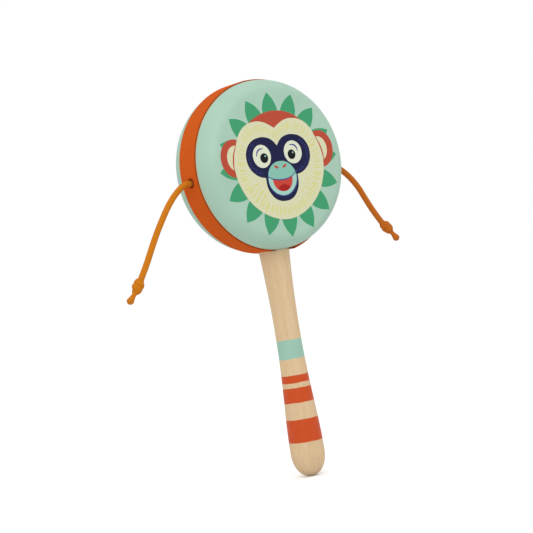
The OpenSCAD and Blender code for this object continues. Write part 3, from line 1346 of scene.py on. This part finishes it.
class Ink(Enum):
    """The inks of the print, each with its colour and its mottle."""

    LEAF_GREEN = (srgb(60, 146, 102), 0.06)
    RUST = (srgb(172, 70, 50), 0.06)
    CREAM = (srgb(201, 201, 166), 0.03)
    EYE = (srgb(206, 211, 188), 0.02)
    STRAW = (srgb(200, 194, 104), 0.05)
    NAVY = (srgb(22, 24, 62), 0.12)
    BLUE = (srgb(52, 66, 128), 0.10)
    MINT = (srgb(126, 178, 162), 0.05)
    PALE_MINT = (srgb(152, 192, 180), 0.04)
    BLACK = (srgb(12, 16, 18), 0.2)
    RED = (srgb(186, 62, 48), 0.06)
    WINE = (srgb(156, 26, 24), 0.06)

    def make(self) -> Material:
        """Makes the ink's material."""
        return PrintInk(f"ink_{self.name.lower()}", *self.value).make()


def heading(angle: float) -> Vector:
    """The direction at an angle in radians, in the plane of the print."""
    return Vector((math.cos(angle), math.sin(angle)))


def tuft(spot: Vector, out: Vector, half: float, bow: float, width: float) -> Shape:
    """Draws a short brush stroke.

    Args:
        spot: Its middle.
        out: Its direction.
        half: Half its length.
        bow: How far its middle bends aside.
        width: Its greatest width.

    Returns:
        The stroke.
    """
    aside = Vector((-out.y, out.x)) * bow
    return stroke([tuple(p) for p in (spot - out * half, spot + aside, spot + out * half)], width)


@dataclass
class PrintedFace:
    """The print on the front skin: a leaf wreath and a smiling monkey's face, in millimetres."""

    drum: DrumBody
    layer: float = 0.014
    leaf_ring: float = 35.7
    leaf_length: float = 11.9
    leaf_half: float = 4.5
    leaf_base: float = 3.9
    leaf_turns: tuple[float, ...] = (0.6, 0, 0, 0.4, 2.0, 1.0, -0.4, 0, 0, 0, 0, 0, 0, 0, 0, 0)
    leaf_reaches: tuple[float, ...] = (0.3, 0.7, 0.8, 0.1, 0.1, 0, 0.4, 0.2, 0.2, 0.2, 0.2, 0.3, 0, 0, 0, 0)
    centre: Flat = (-0.3, 0.2)
    wreath_height: float = -1.6
    fur_drop: float = 4.0
    resolution: int = 10

    def lay(self, name: str, shapes: Sequence[Shape], level: int, material: Material) -> None:
        """Prints some shapes in one ink.

        Args:
            name: The piece's name.
            shapes: The shapes, which don't overlap.
            level: The number of ink layers that it stands on.
            material: The ink.
        """
        curve = bpy.data.curves.new(name, "CURVE")
        curve.dimensions, curve.fill_mode, curve.resolution_u = "2D", "BOTH", self.resolution
        curve.extrude = self.layer * MM * level / 2
        for shape in shapes:
            spline = curve.splines.new("BEZIER")
            spline.bezier_points.add(len(shape.points) - 1)
            spline.use_cyclic_u = True
            for k, (point, (x, z)) in enumerate(zip(spline.bezier_points, shape.points)):
                point.co = (x * MM, z * MM, 0)
                kind = "VECTOR" if k in shape.corners else "AUTO"
                point.handle_left_type = point.handle_right_type = kind
        holder = bpy.data.objects.new(name, curve)
        bpy.context.scene.collection.objects.link(holder)
        mesh = applied(holder)
        bpy.data.objects.remove(holder)
        x, z = self.centre
        out = self.drum.face + (level / 2 - 0.3) * self.layer * MM
        surface = self.drum.centre + Vector((x * MM, -out, z * MM))
        mesh.transform(Matrix.Translation(surface) @ Matrix.Rotation(math.pi / 2, 4, "X"))
        mesh.name = name
        join_frame(piece_from(name, mesh, material, 30), Rig("drum", "mint_skin"))

    def wreath(self) -> list[Shape]:
        """Draws the ring of pointed leaves.

        Returns:
            The leaves, clockwise from the top.
        """
        made = []
        for k, (turn, reach) in enumerate(zip(self.leaf_turns, self.leaf_reaches)):
            angle = math.radians(91 + turn - 360 * k / len(self.leaf_turns))
            out, side = heading(angle), heading(angle + math.pi / 2)
            spots = []
            for depth, sign in ((0, 0), (2.2, 1), (4.8, 1), (9.5, 1), (self.leaf_length, 1),
                                (self.leaf_length, -1), (9.5, -1), (4.8, -1), (2.2, -1)):
                wide = self.leaf_half * (1 - (1 - min(depth, 9.5) / 9.5) ** 2)
                wide = self.leaf_base if depth == self.leaf_length else wide
                spot = out * (self.leaf_ring + reach - depth) + side * wide * sign
                spots.append((spot.x, spot.y + self.wreath_height))
            made.append(Shape(tuple(spots), frozenset({0, 4, 5})))
        return made

    def edge_at(self, angle: float) -> float:
        """Measures the cream face.

        Args:
            angle: A direction in radians from the point that its fur fans out from.

        Returns:
            The distance to the face's outline.
        """
        way = heading(angle)
        ring = [Vector((x, z + self.fur_drop)) for x, z in FACE.points]
        for a, b in zip(ring, [*ring[1:], ring[0]]):
            lean = way.cross(b - a)
            if lean and 0 <= a.cross(way) / lean <= 1 and a.cross(b - a) / lean > 0:
                return a.cross(b - a) / lean
        return 0.0

    def fur(self) -> list[Shape]:
        """Draws the brush strokes that fan out round the cream face.

        Returns:
            The strokes.
        """
        rng = random.Random(7)
        made = []
        for row, (inset, count, length) in enumerate(((0.9, 80, 5.8), (5.6, 44, 5.0))):
            for k in range(count):
                angle = math.radians(360 * (k + 0.5 * row) / count + rng.uniform(-1.3, 1.3))
                reach = self.edge_at(angle) - inset - length / 2
                spot = heading(angle) * reach - Vector((0, self.fur_drop))
                x, z = spot
                high_row = row == 1 and z > -9
                on_chin, on_mask = abs(x) < 10.5 and -20.5 < z < 11, abs(x) < 20.2 and -8 < z < 11.6
                if high_row or on_chin or on_mask:
                    continue
                out = Vector((x * 0.9, z + 3)).normalized()
                half, bow = length * rng.uniform(0.30, 0.47), rng.uniform(-0.25, 0.25)
                made.append(tuft(spot, out, half, bow, rng.uniform(0.32, 0.62)))
        return made

    def mask_strokes(self) -> list[Shape]:
        """Draws the lighter brush strokes round the outside of the dark eye patches.

        Returns:
            The strokes.
        """
        rng = random.Random(3)
        made = []
        for mirror in (True, False):
            for k in range(15):
                out = heading(math.radians(-78 + 9.5 * k))
                spot = Vector((9.7, 2.6)) + out * rng.uniform(7.4, 8.4)
                drawn = tuft(spot, out, rng.uniform(0.5, 0.95), 0.15, 0.30)
                made.append(drawn.mirrored() if mirror else drawn)
        return made

    def build(self) -> None:
        """Prints every ink, from the lowest to the highest."""
        ear, inner_ear = ellipse(26.0, 3.9, 8.1, 9.3), ellipse(25.3, 3.9, 5.1, 6.2)
        ear_line = stroke(EAR_LINE, 0.75)
        whites = [ellipse(-10.0, 3.4, 5.3, 5.7, 8), ellipse(9.0, 3.8, 5.4, 5.7, 4)]
        pupils = [ellipse(-8.8, 2.4, 2.35, 2.4), ellipse(8.0, 2.7, 2.35, 2.4)]
        glints = [ellipse(-8.1, 3.3, 0.42, 0.42), ellipse(8.8, 3.6, 0.42, 0.42)]
        layers = (
            ("leaves", self.wreath(), 1, Ink.LEAF_GREEN), ("cap", [CAP], 2, Ink.RUST),
            ("ears", [ear, ear.mirrored()], 3, Ink.RUST),
            ("inner_ears", [inner_ear, inner_ear.mirrored()], 4, Ink.CREAM),
            ("face", [FACE], 6, Ink.CREAM), ("ear_lines", [ear_line, ear_line.mirrored()], 5, Ink.RUST),
            ("fur", self.fur(), 7, Ink.STRAW), ("mask", [MASK], 8, Ink.NAVY),
            ("mask_strokes", self.mask_strokes(), 9, Ink.BLUE), ("eyes", whites, 10, Ink.EYE),
            ("lip", [LIP], 10, Ink.PALE_MINT), ("muzzle", [MUZZLE], 11, Ink.MINT),
            ("mouth", [MOUTH], 12, Ink.RED), ("tongue", [TONGUE], 13, Ink.WINE),
            ("smile", [stroke(SMILE, 0.55), stroke(JAW, 0.5)], 14, Ink.BLUE),
            ("brows", [stroke(line, 0.75) for line in BROWS], 11, Ink.BLUE),
            ("nostrils", [stroke(line, 1.25) for line in NOSTRILS], 12, Ink.RUST),
            ("pupils", pupils, 12, Ink.BLACK), ("glints", glints, 13, Ink.PALE_MINT))
        inks = {ink: ink.make() for ink in Ink}
        for name, shapes, level, ink in layers:
            self.lay(f"print_{name}", shapes, level, inks[ink])


# ---- studio


@dataclass
class Studio:
    """The floor, the soft lights and the camera."""

    focal: float = 108.07
    sensor: float = 36.0
    azimuth: float = -35.28
    elevation: float = 0.2
    roll: float = -9.52
    shift: tuple[float, float, float] = (-3.35, 49.9, -799.93)
    world: float = 1.0
    bounce: float = 0.80

    def camera(self, centre: Vector) -> None:
        """Sets up the camera.

        Args:
            centre: The drum's centre.
        """
        a, e, r = (math.radians(v) for v in (self.azimuth, self.elevation, self.roll))
        back = Vector((math.sin(a) * math.cos(e), -math.cos(a) * math.cos(e), math.sin(e)))
        right = Vector((math.cos(a), math.sin(a), 0))
        up = back.cross(right)
        right, up = math.cos(r) * right + math.sin(r) * up, math.cos(r) * up - math.sin(r) * right
        x, y, z = self.shift
        lens = bpy.data.cameras.new("camera")
        lens.lens, lens.sensor_width = self.focal, self.sensor
        lens.clip_start, lens.clip_end = 0.01, 200
        eye = bpy.data.objects.new("camera", lens)
        spot = centre - (right * x + up * y + back * z) * MM
        turn = Matrix((right, up, back)).transposed().to_4x4()
        eye.matrix_world = Matrix.Translation(spot) @ turn
        bpy.context.scene.collection.objects.link(eye)
        bpy.context.scene.camera = eye

    def lamp(self, name: str, spot: Vector, target: Vector, size: float, power: float) -> None:
        """Adds a square soft light.

        Args:
            name: Its name.
            spot: Where it stands.
            target: What it points at.
            size: The length of its side, in metres.
            power: Its power, in watts.
        """
        light = bpy.data.lights.new(name, "AREA")
        light.shape, light.size, light.energy = "SQUARE", size, power
        holder = bpy.data.objects.new(name, light)
        holder.location = spot
        holder.rotation_mode = "QUATERNION"
        holder.rotation_quaternion = (target - spot).to_track_quat("-Z", "Y")
        bpy.context.scene.collection.objects.link(holder)

    def floor(self, height: float) -> None:
        """Lays the plain pale floor.

        Args:
            height: Its height.
        """
        bm = bmesh.new()
        spot = Matrix.Translation((0, 0, height))
        bmesh.ops.create_circle(bm, cap_ends=True, segments=96, radius=60, matrix=spot)
        graph = Graph("floor_paper")
        grain = graph.noise(graph.place(), 900, 2)
        tone = graph.mix(grain, (0.90, 0.90, 0.90), (0.94, 0.94, 0.94))
        seen = graph.add("ShaderNodeLightPath")
        dim = self.bounce
        material = graph.finish(Base_Color=graph.mix(seen, (dim, dim, dim), tone), Roughness=0.9,
                                Specular_IOR_Level=0.1, Emission_Strength=0.12,
                                Emission_Color=graph.mix(seen, (0.0, 0.0, 0.0), (1.0, 1.0, 1.0)))
        piece_from("floor", bm, material)

    def build(self, centre: Vector, base: float) -> None:
        """Sets up the floor and the lights.

        Args:
            centre: The drum's centre.
            base: The object's lowest height.
        """
        scene = bpy.context.scene
        scene.view_settings.view_transform = "Standard"
        scene.world = scene.world or bpy.data.worlds.new("studio")
        scene.world.use_nodes = True
        sky = scene.world.node_tree.nodes["Background"]
        sky.inputs["Color"].default_value = (1, 1, 1, 1)
        sky.inputs["Strength"].default_value = self.world
        self.floor(base)
        self.lamp("key", Vector((-0.9, -1.1, 1.1)), centre, 0.9, 8)
        self.lamp("fill", Vector((0.3, -0.9, 1.5)), centre, 1.0, 1.5)


# ---- assembly


def main() -> None:
    """Builds the drum, from its camera and cords to its print."""
    logging.basicConfig(level=logging.INFO, format="%(name)s: %(message)s")
    studio = Studio()
    low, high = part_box("front_skin")
    centre = Vector((0, 0, (low[2] + high[2]) / 2))
    studio.camera(centre)
    StrikerCord(Side.LEFT, **LEFT_CORD).build()
    StrikerCord(Side.RIGHT, **RIGHT_CORD).build()
    drum = DrumBody(Finishes())
    drum.skins()
    drum.inner_wood()
    RimRibbon(drum).build()
    TurnedHandle(drum).build()
    PrintedFace(drum).build()
    studio.build(centre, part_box("handle")[0][2])


if __name__ == "__main__":
    main()
